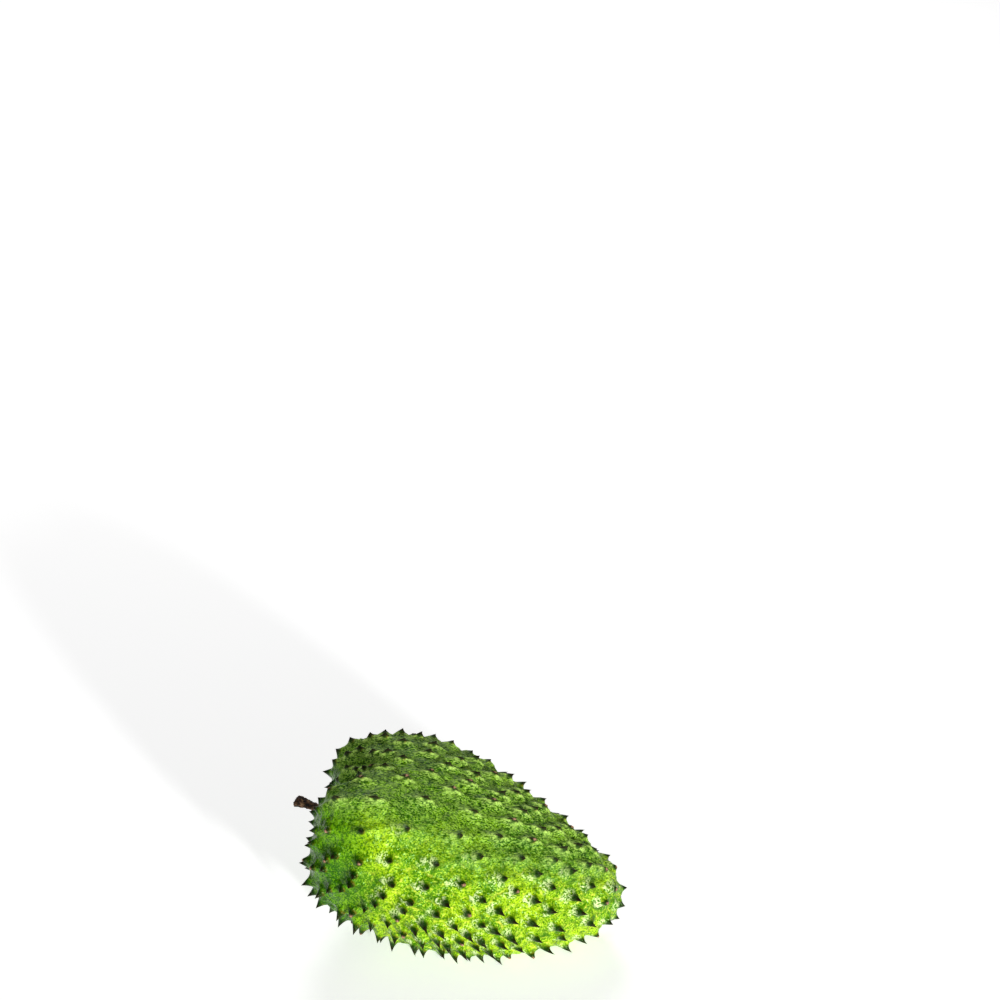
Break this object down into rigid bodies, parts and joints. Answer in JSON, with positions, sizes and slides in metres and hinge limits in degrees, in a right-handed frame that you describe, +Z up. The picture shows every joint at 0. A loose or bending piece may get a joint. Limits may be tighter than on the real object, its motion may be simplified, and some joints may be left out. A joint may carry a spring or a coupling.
{
  "type": "soursop",
  "caption": "Whole soursop lying on its side: a lopsided, heart-shaped green fruit covered in curved soft spines, with a cleft at its stem end and a short woody stem stub.",
  "frame": {"origin": "on the resting surface, under the middle of the fruit and its stem together", "axes": "+Z up, +X from the stem end to the blossom end, which is the longest extent"},
  "size_m": [0.1823, 0.1271, 0.1039],
  "materials": {
    "skin": "satin",
    "stem": "matte"
  },
  "bodies": {
    "root": {"fruit": "skin", "stem": "stem"}
  },
  "joints": []
}
